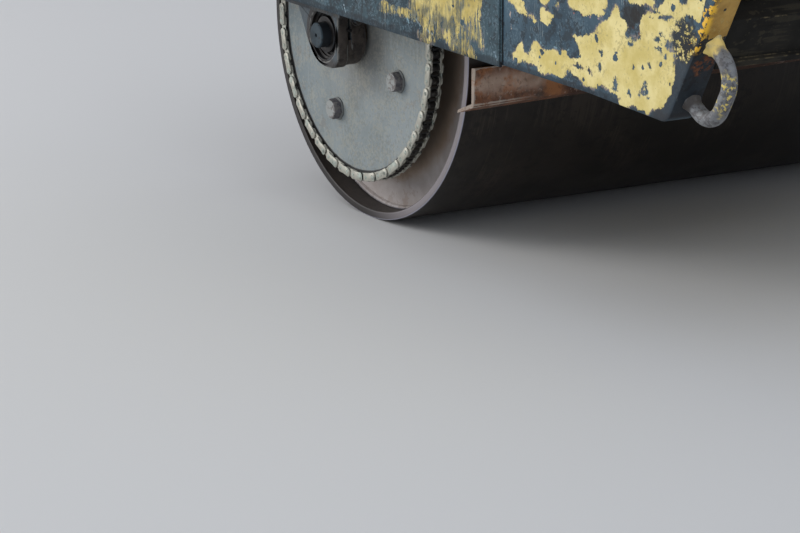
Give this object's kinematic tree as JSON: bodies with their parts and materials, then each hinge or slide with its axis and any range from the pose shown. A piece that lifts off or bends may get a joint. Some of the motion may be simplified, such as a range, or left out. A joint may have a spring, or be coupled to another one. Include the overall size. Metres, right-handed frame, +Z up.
{
  "type": "road roller end section: smooth steel drum with chain drive in its chassis end",
  "caption": "End of a road roller's chassis with one smooth steel drum on stub shafts, a large chain sprocket on its end, two scrapers and lashing rings.",
  "frame": {"origin": "centre of the mounting flange's face, where the section bolts to the rest of the machine", "axes": "+X along the machine towards its tail, +Z up, -Y towards the side with the chain sprocket"},
  "size_m": [1.912, 1.37, 0.9868],
  "materials": {
    "drum_steel": "worn smooth, dark brown film",
    "wheel_paint": "dusty tan paint",
    "sprocket_steel": "dusty, greased rim",
    "chain_steel": "oiled, dusty",
    "shaft_steel": "turned, oiled",
    "chassis_paint": "blue-grey under peeling yellow",
    "inner_paint": "dark, dirty",
    "housing_cast": "brown, greasy",
    "scraper_rust": "rusted",
    "ring_paint": "grey with yellow flecks",
    "motor_paint": "dark grey",
    "pipe_steel": "galvanised, dull"
  },
  "bodies": {
    "chassis": {"side_member_drive": "chassis_paint", "side_member_plain": "chassis_paint", "doubler_drive": "chassis_paint", "doubler_plain": "chassis_paint", "bearing_pad_drive": "housing_cast", "bearing_pad_plain": "housing_cast", "bearing_block_drive": "housing_cast", "bearing_block_plain": "housing_cast", "rear_beam": "inner_paint", "mount_flange": "chassis_paint", "mid_beam": "inner_paint", "bridge": "inner_paint", "tail_beam": "inner_paint", "tail_panel": "inner_paint", "tail_deck": "chassis_paint", "scraper_front": "scraper_rust", "scraper_rear": "scraper_rust", "scraper_arms_front": "scraper_rust", "scraper_arms_rear": "scraper_rust", "lashing_ring_drive": "ring_paint", "lashing_ring_plain": "ring_paint", "motor_plate": "motor_paint", "motor": "motor_paint", "pinion_shaft": "shaft_steel", "pinion": "sprocket_steel", "chain": "chain_steel", "spray_pipe": "pipe_steel"},
    "drum": {"drum_shell": "drum_steel", "end_plate_drive": "wheel_paint", "end_plate_plain": "wheel_paint", "hub_drive": "wheel_paint", "hub_plain": "wheel_paint", "shaft_drive": "shaft_steel", "shaft_plain": "shaft_steel", "collar_drive": "shaft_steel", "collar_plain": "shaft_steel", "sprocket": "sprocket_steel", "sprocket_spacers": "sprocket_steel", "sprocket_bolts": "sprocket_steel"}
  },
  "joints": [
    {"name": "drum_spin", "type": "hinge", "parent": "chassis", "child": "drum", "pos_m": [0.52, 0, -0.238], "axis": [0, 1, 0], "continuous": true}
  ]
}
